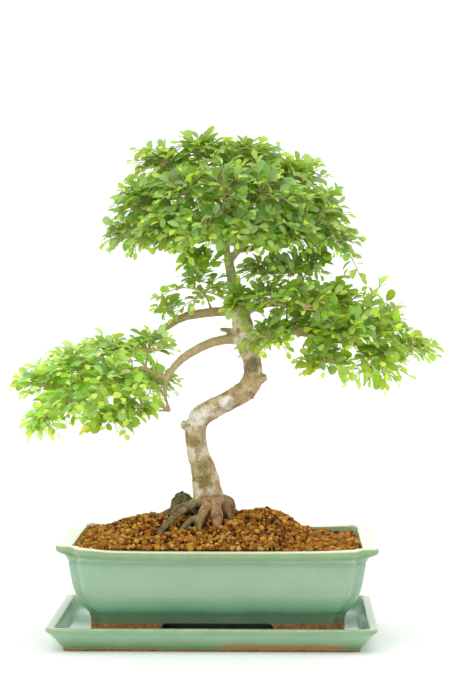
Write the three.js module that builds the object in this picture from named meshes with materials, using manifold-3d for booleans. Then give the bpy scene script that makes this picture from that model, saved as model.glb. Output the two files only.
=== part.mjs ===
// A potted bonsai elm: an S-shaped trunk under three pads of small leaves, in a mound of clay-granule soil.
// Its glazed pot has stepped corners and stands on a matching drip tray.
// Millimetres, +Z up, +X to the right and +Y to the back.
// The origin is the middle of the drip tray's flat underside.

import * as THREE from 'three';
import { mergeVertices } from 'three/addons/utils/BufferGeometryUtils.js';
import Module from 'manifold-3d';

const wasm = await Module();
wasm.setup();

// ---------------------------------------------------------------- driving dimensions

const restGap = 0.3; // between pieces that touch

const trayOverLength = 6; // how much longer the tray's lip is than the pot's rim
const trayOverWidth = 4;
const trayHeight = 19.5;
const trayFloor = 5.7; // thickness of the tray's floor
const trayLip = 7; // width of the flat lip
const trayFlare = 13; // how far the lip stands out past the foot
const trayCorner = 9; // radius of the lip's corners
const trayCove = 5.6; // how far the inner wall slopes in from the lip to the floor
const trayFootHeight = 3; // bare clay strip under the glaze

const potShift = 4; // the pot stands this far to the right of the tray's middle
const potLength = 254; // over the rim
const potWidth = 196;
const potHeight = 73.6;
const potRim = 13.5; // width of the flat rim
const potRimFace = 3.5; // height of the rim's upright outer face
const potRimDrop = 9.5; // height of the rim down to where its slanted underside meets the body
const potShoulder = 9.4; // how far the top of the body stands in from the rim's edge
const potTaper = 26.5; // how far the foot stands in from the rim's edge
const potWall = 7;
const potFloor = 7;
const potFootHeight = 17; // from the tray to the underside of the pot's floor
const potFootWall = 12; // width of the foot ring
const footArch = 3; // the gaps between the feet end this far below the pot's floor
const footGapLength = 88; // opening between the feet at the front and the back
const footGapWidth = 64; // opening between the feet at the two ends
const rimStepX = 15; // how far each corner of the rim steps in
const rimStepY = 12;
const bodyStep = 7.5; // how far each corner of the body steps in, both ways
const cavityCorner = 12; // radius of the corners inside the pot
const edgeRound = 1.2; // softening of the glazed edges
const drainHole = 20; // diameter
const drainSpacing = 110; // between the two drain holes

const screenOverlap = 6; // the square screen reaches this far past the edge of its drain hole
const screenThickness = 1.2;
const screenCells = 4; // openings along each side
const screenStrand = 1.6; // width of the plastic between two openings
const clipWire = 1.2; // diameter of the wire clip that holds a screen
const clipTail = 9; // length of each tail under the pot's floor
const clipSag = 2; // the tails hang this far below the pot's floor

const soilBelowRim = 2; // depth of the soil's edge under the rim
const soilMound = 15; // rise of the soil from the rim to the trunk
const soilHump = 5; // height of the hump to the right of the trunk

const barkGirth = 1; // scales the thickness of the trunk, branches and roots
const twigRadius = 1.5; // of a side twig where it leaves its branch
const twigTipRadius = 0.8;
const leafGap = 0.3; // between two masses of leaves, and round the wood inside them

// ---------------------------------------------------------------- sizes worked out from them

const trayLength = potLength + trayOverLength;
const trayWidth = potWidth + trayOverWidth;
const potBottom = trayFloor + restGap;
const potRimTop = potBottom + potHeight;
const potBodyBottom = potBottom + potFootHeight;
const potInsideBottom = potBodyBottom + potFloor;
const potBodyTop = potRimTop - potRimDrop;
const screenSize = drainHole + 2 * screenOverlap;
const soilLine = potRimTop + soilMound; // where the trunk leaves the soil; the tree is placed from here
const trunkX = -8; // the trunk's foot, from the pot's middle

// ---------------------------------------------------------------- solids

// A three.js geometry as a manifold solid; its shared vertices are merged first.
function solidOf(geometry) {
  const bare = geometry.index ? geometry.clone() : geometry;
  bare.deleteAttribute('normal');
  bare.deleteAttribute('uv');
  const merged = mergeVertices(bare, 1e-4);
  return new wasm.Manifold(new wasm.Mesh({
    numProp: 3,
    vertProperties: new Float32Array(merged.attributes.position.array),
    triVerts: new Uint32Array(merged.index.array),
  }));
}

// The largest body of a solid: cuts can leave crumbs behind, which are dropped.
function mainBody(solid) {
  return solid.decompose().reduce((a, b) => (b.volume() > a.volume() ? b : a));
}

function geometryOf(solid) {
  const { vertProperties, triVerts } = solid.getMesh();
  const geometry = new THREE.BufferGeometry();
  geometry.setAttribute('position', new THREE.BufferAttribute(vertProperties, 3));
  geometry.setIndex(new THREE.BufferAttribute(triVerts, 1));
  return geometry;
}

// A closed solid through a stack of rings with the same number of points each, and a fan over each end.
function loft(rings) {
  const count = rings[0].length;
  const points = rings.flat();
  const faces = [];
  for (let r = 0; r + 1 < rings.length; r++) {
    for (let i = 0; i < count; i++) {
      const a = r * count + i;
      const b = r * count + ((i + 1) % count);
      faces.push(a, b, b + count, a, b + count, a + count);
    }
  }
  for (const [ring, flipped] of [[0, true], [rings.length - 1, false]]) {
    const middle = rings[ring].reduce((sum, p) => sum.add(p), new THREE.Vector3()).divideScalar(count);
    const hub = points.push(middle) - 1;
    for (let i = 0; i < count; i++) {
      const a = ring * count + i;
      const b = ring * count + ((i + 1) % count);
      faces.push(...(flipped ? [b, a, hub] : [a, b, hub]));
    }
  }
  const geometry = new THREE.BufferGeometry().setFromPoints(points);
  geometry.setIndex(faces);
  return solidOf(geometry);
}

// One quarter of an outline, mirrored into all four, anticlockwise from above.
function fourQuarters(quarter) {
  const back = [...quarter].reverse();
  return [
    ...quarter,
    ...back.map(([x, y]) => [-x, y]),
    ...quarter.map(([x, y]) => [-x, -y]),
    ...back.map(([x, y]) => [x, -y]),
  ];
}

function arc(cx, cy, radius, from, to, steps) {
  const points = [];
  for (let i = 0; i <= steps; i++) {
    const angle = THREE.MathUtils.degToRad(from + ((to - from) * i) / steps);
    points.push([cx + radius * Math.cos(angle), cy + radius * Math.sin(angle)]);
  }
  return points;
}

// A rectangle whose four corners step inwards, softly rounded outside and tighter where they step in.
function steppedOutline(halfX, halfY, stepX, stepY) {
  const step = Math.min(stepX, stepY);
  const out = step * 0.7;
  const within = step * 0.28;
  const quarter = [
    ...arc(halfX - out, halfY - stepY - out, out, 0, 90, 3),
    ...arc(halfX - stepX + within, halfY - stepY + within, within, 270, 180, 2),
    ...arc(halfX - stepX - out, halfY - out, out, 0, 90, 3),
  ];
  return fourQuarters(quarter);
}

// A rectangle with rounded corners, and points along its sides too.
function roundedOutline(halfX, halfY, radius, arcSteps, sidePoints) {
  const corner = arc(halfX - radius, halfY - radius, radius, 0, 90, arcSteps);
  const along = [];
  for (let i = 0; i < sidePoints; i++) {
    along.push((i + 0.5) / sidePoints);
  }
  return fourQuarters([
    ...along.map((share) => [halfX, share * (halfY - radius)]),
    ...corner,
    ...[...along].reverse().map((share) => [share * (halfX - radius), halfY]),
  ]);
}

function ringAt(outline, centreX, z) {
  return outline.map(([x, y]) => new THREE.Vector3(centreX + x, y, z));
}

function curveThrough(points) {
  return new THREE.CatmullRomCurve3(points.map(([x, y, z]) => new THREE.Vector3(x, y, z)));
}

function box(sizeX, sizeY, sizeZ, x, y, z) {
  return solidOf(new THREE.BoxGeometry(sizeX, sizeY, sizeZ).translate(x, y, z));
}

// A tapering round limb through [x, y, z, radius] points: a closed cylinder bent along their curve.
// With a clearance, its flat sides stand that far outside the round limb.
function limb(points, sides, steps, extra = 0) {
  const flats = extra > 0 ? 1 / Math.cos(Math.PI / sides) : 1;
  const curve = curveThrough(points);
  const geometry = new THREE.CylinderGeometry(1, 1, 1, sides, steps);
  const position = geometry.attributes.position;
  const frames = [];
  let side = new THREE.Vector3(0, 1, 0);
  for (let i = 0; i <= steps; i++) {
    const t = i / steps;
    const along = curve.getTangent(t);
    side = side.clone().addScaledVector(along, -side.dot(along)).normalize();
    const knot = t * (points.length - 1);
    const before = Math.min(Math.floor(knot), points.length - 2);
    const bark = THREE.MathUtils.lerp(points[before][3], points[before + 1][3], knot - before) * barkGirth;
    const centre = curve.getPoint(t);
    if (i === 0) centre.addScaledVector(along, -extra);
    if (i === steps) centre.addScaledVector(along, extra);
    frames.push({ centre, side, up: side.clone().cross(along), radius: (bark + extra) * flats });
  }
  for (let i = 0; i < position.count; i++) {
    const v = new THREE.Vector3().fromBufferAttribute(position, i);
    const frame = frames[Math.round((v.y + 0.5) * steps)];
    const place = frame.centre.clone()
      .addScaledVector(frame.side, v.x * frame.radius)
      .addScaledVector(frame.up, v.z * frame.radius);
    position.setXYZ(i, place.x, place.y, place.z);
  }
  return solidOf(geometry);
}

const group = new THREE.Group();

function addPiece(name, solid, color, roughness, metalness = 0) {
  const material = new THREE.MeshStandardMaterial({ color, roughness, metalness });
  const mesh = new THREE.Mesh(geometryOf(solid), material);
  mesh.name = name;
  group.add(mesh);
}

// ---------------------------------------------------------------- drip tray

function dripTray() {
  const ring = (inset, z) => {
    const radius = Math.max(trayCorner - inset * 0.3, edgeRound);
    return ringAt(roundedOutline(trayLength / 2 - inset, trayWidth / 2 - inset, radius, 4, 0), 0, z);
  };
  return loft([
    ring(trayFlare + edgeRound / 2, 0),
    ring(trayFlare, trayFootHeight),
    ring(trayFlare - edgeRound, trayFootHeight + edgeRound),
    ring(trayFlare * 0.42, trayHeight * 0.62),
    ring(edgeRound / 2, trayHeight - 2 * edgeRound),
    ring(0, trayHeight - edgeRound),
    ring(edgeRound / 2, trayHeight),
    ring(trayLip, trayHeight),
    ring(trayLip + trayCove - edgeRound, trayFloor + edgeRound),
    ring(trayLip + trayCove, trayFloor),
  ]);
}

// ---------------------------------------------------------------- pot

// The body's outer wall as [share of its height, share of the way in from the shoulder to the foot].
const bodyCurve = [[1, 0], [0.74, 0.13], [0.45, 0.3], [0.31, 0.445], [0.19, 0.71], [0.106, 0.9], [0, 1]];

function bodyZ(share) {
  return THREE.MathUtils.lerp(potBodyBottom, potBodyTop, share);
}

// A value read off a falling list of [z, value] pairs, straight between two of them and level past its ends.
function valueAt(pairs, z) {
  const after = pairs.findIndex((pair) => pair[0] <= z);
  if (after === 0) return pairs[0][1];
  if (after < 0) return pairs[pairs.length - 1][1];
  const [upper, lower] = [pairs[after - 1], pairs[after]];
  return THREE.MathUtils.lerp(upper[1], lower[1], (upper[0] - z) / (upper[0] - lower[0]));
}

const bodyInsets = bodyCurve.map(([height, way]) => [
  bodyZ(height), THREE.MathUtils.lerp(potShoulder, potTaper, way),
]);

// The inside of the wall as [z, how far in from the rim's edge]: the rim's inner edge, then the body's curve
// with the wall's thickness added, down to the floor.
const cavityTop = potRimTop - edgeRound;
const cavityInsets = [
  [cavityTop, potRim],
  ...bodyInsets.filter(([z]) => z > potInsideBottom).map(([z, inset]) => [z, inset + potWall]),
  [potInsideBottom, valueAt(bodyInsets, potInsideBottom) + potWall],
];

function cavityRing(z, gap = 0) {
  const inset = valueAt(cavityInsets, z) + gap;
  const outline = roundedOutline(potLength / 2 - inset, potWidth / 2 - inset, cavityCorner, 3, 3);
  return ringAt(outline, potShift, z);
}

function potRing(inset, z, stepX, stepY) {
  return ringAt(steppedOutline(potLength / 2 - inset, potWidth / 2 - inset, stepX, stepY), potShift, z);
}

function pot() {
  const bodyRing = (inset, z) => potRing(inset, z, bodyStep, bodyStep);
  const rimRing = (inset, z) => potRing(inset, z, rimStepX, rimStepY);
  const body = loft([
    bodyRing(potTaper, potBottom),
    ...[...bodyInsets].reverse().map(([z, inset]) => bodyRing(inset, z)),
    rimRing(edgeRound, potRimTop - potRimFace - 1.5 * edgeRound),
    rimRing(0, potRimTop - potRimFace),
    rimRing(0, potRimTop - edgeRound),
    rimRing(edgeRound, potRimTop),
  ]);
  const mouth = cavityRing(potRimTop + edgeRound);
  const cavity = loft([...cavityInsets.map(([z]) => cavityRing(z)).reverse(), mouth]);
  const cutHeight = potFootHeight + 2 * restGap;
  const cutZ = potBodyBottom - cutHeight / 2;
  const underLength = potLength - 2 * (potTaper + potFootWall);
  const underWidth = potWidth - 2 * (potTaper + potFootWall);
  return body
    .subtract(cavity)
    .subtract(box(underLength, underWidth, cutHeight, potShift, 0, cutZ))
    .subtract(box(footGapLength, potWidth, cutHeight, potShift, 0, cutZ - footArch))
    .subtract(box(potLength, footGapWidth, cutHeight, potShift, 0, cutZ - footArch))
    .subtract(drainBore(-1))
    .subtract(drainBore(1));
}

function drainX(side) {
  return potShift + (side * drainSpacing) / 2;
}

function drainBore(side) {
  const bore = new THREE.CylinderGeometry(drainHole / 2, drainHole / 2, 3 * potFloor, 20);
  return solidOf(bore.rotateX(Math.PI / 2).translate(drainX(side), 0, potInsideBottom));
}

// ---------------------------------------------------------------- drainage screens and their wire clips

const screenZ = potInsideBottom + restGap;
const screenPitch = (screenSize - screenStrand) / screenCells;

function screen(side) {
  const cell = screenPitch - screenStrand;
  const place = (i) => (i - (screenCells - 1) / 2) * screenPitch;
  const z = screenZ + screenThickness / 2;
  let sheet = box(screenSize, screenSize, screenThickness, drainX(side), 0, z);
  for (let i = 0; i < screenCells; i++) {
    for (let j = 0; j < screenCells; j++) {
      sheet = sheet.subtract(box(cell, cell, 2 * screenThickness, drainX(side) + place(i), place(j), z));
    }
  }
  return sheet;
}

// A staple of wire: over the screen, down through two of its openings and the drain hole, then out both ways
// under the pot's floor.
function clip(side) {
  const r = clipWire / 2;
  const reach = screenPitch / 2;
  const top = screenZ + screenThickness + restGap + r;
  const under = potBodyBottom - clipSag - restGap - r;
  const tail = reach + clipTail / Math.SQRT2;
  const route = [
    [-tail, under], [-reach, under], [-reach, top], [reach, top], [reach, under], [tail, under],
  ];
  let wire = null;
  for (let i = 0; i + 1 < route.length; i++) {
    const [a, az] = route[i];
    const [b, bz] = route[i + 1];
    const from = new THREE.Vector3(drainX(side) + a, a, az);
    const to = new THREE.Vector3(drainX(side) + b, b, bz);
    const ends = to.clone().sub(from).normalize().multiplyScalar(r);
    from.sub(ends);
    to.add(ends);
    const rod = rodBetween(from, to, r);
    wire = wire ? wire.add(rod) : rod;
  }
  return wire;
}

function rodBetween(from, to, radius) {
  const along = to.clone().sub(from);
  const rod = new THREE.CylinderGeometry(radius, radius, along.length(), 6);
  const turn = new THREE.Quaternion().setFromUnitVectors(new THREE.Vector3(0, 1, 0), along.normalize());
  rod.applyQuaternion(turn);
  return solidOf(rod.translate(...from.add(to).multiplyScalar(0.5).toArray()));
}

// ---------------------------------------------------------------- trunk, roots and branches

// Points are [x, y, z, radius] from the trunk's foot at the soil line.
const trunk = [
  [4, 0, -34, 9], [2, 0, -16, 13.5], [1, 0, 0, 14], [-0.5, 0, 12, 13], [-1.5, 0, 22, 12],
  [-3.5, 0, 31, 11.1], [-5.5, 0, 42, 10.3], [-9, 0, 51, 8.8], [-11, 0, 61, 8.3], [-12, -1, 72, 8.6],
  [-10, -2, 81, 9.1],
  [-3, -3, 87, 8.6], [7, -5, 93, 8], [19, -6, 99, 8], [29, -6, 105, 8.7], [34.5, -5, 113, 8.4],
  [35, -3, 123, 7], [34, -1, 132, 7.5], [30, 1, 141, 8], [28, 2, 150, 8.6], [26.5, 3, 160, 8.5],
  [24, 4, 170, 6.7], [21, 4, 180, 5.5], [19, 5, 190, 4.8], [17.2, 5, 200, 4.2], [15, 5, 211, 3.8],
];

const branches = {
  upper_arch: [
    [27, 3, 163, 4.4], [14, 8, 169, 3.9], [1.5, 12, 168.5, 3.9], [-11.5, 15, 166.5, 3.8],
    [-23, 17, 164, 3.6], [-32, 18, 159, 3.3], [-41, 18, 152.5, 2.9], [-50, 17, 147, 2.6],
    [-66, 15, 140, 2.1], [-84, 12, 135, 1.6], [-108, 8, 124, 1.2],
  ],
  lower_arch: [
    [30, 0, 146, 4.6], [22, -4, 147, 4.3], [10.5, -9, 146.5, 4], [-1, -14, 143.5, 3.9],
    [-12, -18, 138, 3.7], [-20, -20, 133, 3.5], [-26.5, -21, 127, 3.2], [-31, -21, 120.5, 2.7],
    [-35, -21, 114.5, 2.6],
  ],
  lower_arch_drop: [
    [-34, -21, 116, 2.2], [-35.5, -22, 104, 1.6], [-33.5, -23, 95, 1.4], [-31, -23, 90, 1.1],
  ],
  lower_arch_reach: [
    [-34, -21, 116, 2.4], [-42.5, -20, 119, 2], [-51.5, -19, 123, 1.8], [-64, -18, 124, 1.6],
    [-88, -14, 118, 1.4], [-118, -6, 108, 1],
  ],
  right_low: [
    [31, 0, 148, 3.9], [42.5, -6, 152.5, 3.5], [55.5, -12, 154.5, 3.1], [70.5, -16, 153, 2.6],
    [89, -18, 149, 2.3], [109, -18, 145, 1.9], [131, -14, 141, 1.5], [152, -8, 136.5, 1],
  ],
  right_high: [
    [26, 4, 168, 3.8], [37.5, 8, 172.5, 3.4], [50.5, 13, 176, 3.1], [66.5, 18, 174, 2.6],
    [86, 22, 169, 2.3], [106, 24, 162.5, 1.8], [124, 22, 157, 1.3],
  ],
  leader_left: [
    [15, 5, 210, 3.4], [11.5, 6, 226, 2.9], [5.5, 8, 241, 2.6], [1.5, 8, 256, 2.1], [-1.5, 5, 272, 1.6],
    [-3, 2, 287, 1.1],
  ],
  leader_right: [
    [15, 5, 209, 3.2], [24.5, 8, 220, 2.9], [37.5, 12, 221, 2.9], [46.5, 14, 229, 2.6], [52, 12, 242, 2.3],
    [56, 8, 255, 1.9], [60, 5, 268, 1.3],
  ],
  crown_left: [
    [11, 6, 228, 2.3], [-6, 0, 238, 2.1], [-28, -4, 244, 1.8], [-50, 0, 249, 1.4], [-62, 4, 256, 1],
  ],
  crown_right: [[46, 14, 228, 2.2], [62, 8, 236, 2], [80, 0, 240, 1.7], [94, -6, 238, 1.2]],
  crown_front: [[11.5, 6, 226, 2.2], [14, -14, 236, 2], [14, -36, 243, 1.6], [12, -54, 248, 1.1]],
  crown_back: [[14, 5, 214, 2.4], [14, 24, 226, 2.1], [14, 46, 238, 1.7], [12, 62, 246, 1.2]],
};

const knobs = [
  [[-9, -2, 74, 5], [-17, -4, 76, 4.4], [-23, -5, 78, 3.6]],
  [[33, -5, 112, 5], [42, -7, 114.5, 4.4], [46, -8, 116, 3]],
  [[29, 0, 157, 4.5], [29, -8, 159, 4.4], [29, -9.5, 159.3, 3.8]],
  [[20, 0, 153, 2.4], [12, -8, 154.5, 2], [9, -11, 155, 1.7]],
];

const roots = [
  [[-2, 2, 13, 8], [-15, 4, 10, 5.6], [-28, 3, 6, 4.8], [-42, 1, 0, 4.2], [-56, -2, -11, 3]],
  [[-4, -4, 14, 7], [-14, -11, 13, 3.6], [-23, -22, 8, 2.9], [-34, -36, -1, 2.6], [-44, -50, -14, 2.2]],
  [[0, -6, 14, 6], [-1, -13, 15, 4], [-5, -19, 8, 3.9], [-8, -24, 0, 3.6], [-10, -29, -12, 2.6]],
  [[4, -6, 13, 6], [5.5, -13, 13, 4.4], [6, -18, 7, 4.4], [6.5, -22, 1, 4.2], [8, -28, -12, 3]],
  [[6, -2, 14, 9], [12, -4, 13, 6.6], [14.5, -6, 7, 5.6], [18, -9, -6, 4]],
  [[-6, -10, 2, 3.6], [-13, -20, 2, 2.9], [-19, -28, -2, 2.6], [-26, -36, -12, 2]],
  [[4, 4, 12, 7], [12, 15, 8, 5], [24, 26, -2, 4], [36, 36, -18, 2.6]],
  [[-2, 5, 12, 7], [-8, 16, 9, 5], [-15, 32, -2, 4], [-22, 46, -18, 2.6]],
  [[2, 0, -20, 8], [-14, 8, -30, 5], [-36, 14, -40, 3]],
  [[4, 0, -20, 8], [22, -6, -30, 5], [46, -10, -40, 3]],
];

function placed(points) {
  return points.map(([x, y, z, r]) => [potShift + trunkX + x, y, soilLine + z, r]);
}

// ---------------------------------------------------------------- masses of leaves

// Each mass is [x, y, z, radius, half height] from the trunk's foot; its list names its node.
const leafMasses = {
  crown_leaves: [
    [-40, -10, 287, 25, 18], [-4, 5, 299, 27, 17], [32, -5, 293, 27, 17], [66, 0, 275, 25, 19],
    [-55, 8, 257, 24, 20], [-22, -45, 266, 25, 19], [13, -52, 270, 26, 19], [49, -48, 262, 24, 19],
    [91, 2, 247, 24, 20], [101, -18, 225, 22, 15], [-66, -5, 228, 23, 19], [-38, -40, 229, 25, 20],
    [-5, -62, 232, 26, 21], [30, -62, 232, 25, 20], [65, -46, 229, 25, 20], [-30, 50, 275, 32, 22],
    [30, 52, 280, 34, 23], [76, 46, 246, 28, 22], [-44, 48, 236, 29, 20], [20, 72, 240, 34, 22],
    [84, -20, 210, 20, 11], [64, -36, 205, 19, 12],
  ],
  left_pad_leaves: [
    [-138, -5, 109, 24, 17], [-108, -22, 126, 25, 17], [-108, 15, 97, 26, 18], [-81, 22, 135, 26, 16],
    [-75, -34, 112, 26, 20], [-48, -14, 142, 21, 15], [-50, 16, 110, 24, 19], [-92, 46, 111, 28, 17],
    [-135, 2, 78, 18, 14], [-81, -5, 79, 23, 14], [-111, -32, 93, 22, 15], [-60, -26, 91, 20, 14],
  ],
  right_pad_leaves: [
    [53, -35, 183, 23, 14], [77, -42, 178, 23, 16], [97, 0, 174, 25, 17], [73, -22, 155, 23, 15],
    [105, -34, 151, 25, 19], [134, 5, 153, 25, 15], [133, -22, 130, 22, 17], [162, -5, 138, 22, 14],
    [104, 44, 156, 30, 19], [44, -22, 203, 21, 14], [48, -34, 147, 20, 17], [94, -24, 127, 22, 15],
  ],
  sprig_leaves: [[-10, -6, 196, 13, 14], [-34, 8, 172, 12, 13], [27, -26, 171, 13, 11]],
};

function massSolid([x, y, z, radius, halfHeight]) {
  const ball = new THREE.IcosahedronGeometry(1, 1).scale(radius, radius, halfHeight);
  return solidOf(ball.translate(potShift + trunkX + x, y, soilLine + z));
}

// Where the line between two masses crosses the middle of their overlap, as a share of its length.
function meetingShare(a, b) {
  const d = [b[0] - a[0], b[1] - a[1], b[2] - a[2]];
  const [reachA, reachB] = [a, b].map(([, , , radius, halfHeight]) => {
    return 1 / Math.hypot(d[0] / radius, d[1] / radius, d[2] / halfHeight);
  });
  return { d, touching: reachA + reachB > 0.98, share: (1 + reachA - reachB) / 2 };
}

// The arched twig that carries a mass, from the nearest branch point to its end inside the mass.
function twigTo([x, y, z, radius], branchCurves) {
  const target = new THREE.Vector3(x, y, z);
  let start = null;
  for (const curve of branchCurves) {
    for (let i = 0; i <= 20; i++) {
      const p = curve.getPoint(i / 20);
      const climb = Math.max(0, p.z - z) * 0.8;
      const distance = p.distanceTo(target) + climb;
      if (!start || distance < start.distance) start = { p, distance };
    }
  }
  const span = start.p.distanceTo(target);
  target.lerp(start.p, Math.min(0.4, (0.4 * radius) / span));
  const bend = start.p.clone().lerp(target, 0.5);
  bend.z += 0.12 * span;
  const arch = new THREE.QuadraticBezierCurve3(start.p, bend, target);
  return [0, 0.33, 0.67, 1].map((t) => {
    const p = arch.getPoint(t);
    return [p.x, p.y, p.z, THREE.MathUtils.lerp(twigRadius, twigTipRadius, t)];
  });
}

const joined = (solids) => solids.reduce((a, b) => a.add(b));

function trunkAndRoots(extra = 0) {
  return joined([
    limb(placed(trunk), 12, 32, extra),
    ...roots.map((points) => limb(placed(points), 6, 5, extra)),
  ]);
}

const allMasses = Object.values(leafMasses).flat();

// The branches, the old cuts' knobs and the twigs that carry the leaves; the twigs are square in section.
function branchesAndTwigs(sides, extra = 0) {
  const curves = Object.values(branches).map((points) => curveThrough(points));
  return joined([
    ...Object.values(branches).map((points) => limb(placed(points), sides, points.length, extra)),
    ...knobs.map((points) => limb(placed(points), 6, 2, extra)),
    ...allMasses.map((mass) => limb(placed(twigTo(mass, curves)), 4, 3, extra)),
  ]);
}

const tree = trunkAndRoots().add(branchesAndTwigs(6));
const leafClearance = trunkAndRoots(leafGap).add(branchesAndTwigs(4, leafGap));

// ---------------------------------------------------------------- moss and soil

const mossAt = { x: -23, y: 21, z: 7, radius: 11.5, halfDepth: 10, halfHeight: 14 };

function moss(extra) {
  const { x, y, z, radius, halfDepth, halfHeight } = mossAt;
  const ball = new THREE.IcosahedronGeometry(1, 1);
  ball.scale(radius + extra, halfDepth + extra, halfHeight + extra);
  return solidOf(ball.translate(potShift + trunkX + x, y, soilLine + z));
}

// Height of the soil's top: a mound round the trunk with a hump to its right, falling away to the walls and
// lowest at the back right.
function soilTop(x, y) {
  const edge = potRimTop - soilBelowRim;
  const u = (x - potShift) / (potLength / 2);
  const v = y / (potWidth / 2);
  const across = Math.exp(-(((v - 0.05) / 0.55) ** 2));
  const rise = THREE.MathUtils.smoothstep(u, -0.95, -0.45);
  const fall = THREE.MathUtils.smoothstep(u, 0.36, 0.66);
  const mound = rise * (1 - fall);
  const hump = soilHump * Math.exp(-(((u - 0.28) / 0.12) ** 2));
  const hollow = 5 * Math.exp(-(((u - 0.85) / 0.32) ** 2) - ((v - 0.6) / 0.5) ** 2);
  const grain = 0.7 * Math.sin(x * 0.31 + 1) * Math.sin(y * 0.27) + 0.5 * Math.sin(x * 0.53 + y * 0.44);
  return edge + ((soilMound + 2 * soilBelowRim) * mound + hump) * across - hollow + grain;
}

function soil() {
  const sides = cavityInsets.slice(1).reverse().map(([z]) => {
    return cavityRing(Math.max(z, potInsideBottom + restGap), restGap);
  });
  const rim = cavityRing(cavityTop, restGap).map((p, i) => cavityRing(soilTop(p.x, p.y), restGap)[i]);
  const top = [0.9, 0.77, 0.63, 0.49, 0.35, 0.2, 0.08].map((share) => rim.map((p) => {
    const x = potShift + (p.x - potShift) * share;
    const y = p.y * share;
    return new THREE.Vector3(x, y, soilTop(x, y));
  }));
  let mound = loft([...sides, rim, ...top]).subtract(trunkAndRoots(restGap)).subtract(moss(restGap));
  for (const side of [-1, 1]) {
    const screenRoom = screenSize + 2 * restGap;
    const clipRoom = screenPitch + clipWire + 2 * restGap;
    const screenHeight = 2 * (screenThickness + restGap);
    const clipHeight = screenHeight + 2 * (clipWire + restGap);
    mound = mound
      .subtract(box(screenRoom, screenRoom, screenHeight, drainX(side), 0, screenZ))
      .subtract(box(clipRoom, clipRoom, clipHeight, drainX(side), 0, screenZ));
  }
  return mainBody(mound);
}

// ---------------------------------------------------------------- the whole object

addPiece('drip_tray', dripTray(), 0x9fcdb4, 0.2);
addPiece('pot', pot(), 0x8fbfa3, 0.2);
for (const [side, word] of [[-1, 'left'], [1, 'right']]) {
  addPiece(`drain_screen_${word}`, screen(side), 0x2b2b2b, 0.6);
  addPiece(`screen_clip_${word}`, clip(side), 0x8d8f90, 0.35, 0.9);
}
addPiece('soil', soil(), 0xa86d34, 0.95);
addPiece('moss_clump', mainBody(moss(0).subtract(trunkAndRoots(restGap))), 0x3c4620, 1);
addPiece('trunk_and_branches', tree, 0xb9aa93, 0.85);

for (const [name, masses] of Object.entries(leafMasses)) {
  masses.forEach((mass, i) => {
    let solid = massSolid(mass);
    for (const other of allMasses.filter((candidate) => candidate !== mass)) {
      const { d, touching, share } = meetingShare(mass, other);
      if (!touching) continue;
      const normal = new THREE.Vector3(...d).normalize().negate();
      const meeting = new THREE.Vector3(
        potShift + trunkX + mass[0] + d[0] * share,
        mass[1] + d[1] * share,
        soilLine + mass[2] + d[2] * share,
      );
      solid = solid.trimByPlane(normal.toArray(), meeting.dot(normal) + leafGap / 2);
    }
    solid = mainBody(solid.subtract(leafClearance));
    addPiece(`${name}_${String(i + 1).padStart(2, '0')}`, solid, 0x4f8f2f, 0.6);
  });
}

export default group;
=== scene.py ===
import math

import bmesh
import bpy
import numpy as np
from mathutils import Matrix, Vector, noise
from mathutils.bvhtree import BVHTree
from mathutils.kdtree import KDTree


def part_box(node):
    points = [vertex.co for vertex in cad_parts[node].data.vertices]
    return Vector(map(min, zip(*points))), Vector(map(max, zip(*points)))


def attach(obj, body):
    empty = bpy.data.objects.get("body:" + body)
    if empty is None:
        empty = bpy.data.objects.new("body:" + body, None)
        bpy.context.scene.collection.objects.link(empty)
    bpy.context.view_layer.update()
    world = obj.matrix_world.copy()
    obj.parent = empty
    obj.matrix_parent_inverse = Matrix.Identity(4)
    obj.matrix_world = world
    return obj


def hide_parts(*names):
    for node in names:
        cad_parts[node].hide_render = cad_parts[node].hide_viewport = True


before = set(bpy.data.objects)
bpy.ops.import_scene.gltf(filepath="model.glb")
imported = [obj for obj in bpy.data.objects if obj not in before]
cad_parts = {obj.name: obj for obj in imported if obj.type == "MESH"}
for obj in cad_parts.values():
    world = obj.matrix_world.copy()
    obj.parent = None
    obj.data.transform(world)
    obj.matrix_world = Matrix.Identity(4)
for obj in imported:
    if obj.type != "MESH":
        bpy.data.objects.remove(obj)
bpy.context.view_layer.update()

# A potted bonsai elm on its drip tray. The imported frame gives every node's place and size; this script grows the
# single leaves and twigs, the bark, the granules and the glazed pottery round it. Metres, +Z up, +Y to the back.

MM = 0.001
BODY = "root"
SEED = 11


# ---------------------------------------------------------------- small helpers


def srgb(r, g, b):
    """A colour given as 0 to 255 screen values, as linear RGB."""
    return tuple(((c / 255 + 0.055) / 1.055) ** 2.4 if c > 10 else c / 255 / 12.92 for c in (r, g, b))


def smooth(value, low, high):
    """Goes smoothly from 0 at low to 1 at high, for numbers or arrays."""
    t = np.clip((value - low) / (high - low), 0, 1)
    return t * t * (3 - 2 * t)


def new_object(name, data):
    """A new object, linked into the scene."""
    made = bpy.data.objects.new(name, data)
    bpy.context.scene.collection.objects.link(made)
    return made


def set_tints(mesh, colors):
    """Stores linear colours, one per vertex or one for all, as the tint that the materials read."""
    layer = mesh.color_attributes.new("tint", "FLOAT_COLOR", "POINT")
    rgba = np.ones((len(mesh.vertices), 4), dtype=np.float32)
    rgba[:, :3] = colors
    layer.data.foreach_set("color", rgba.ravel())


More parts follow.
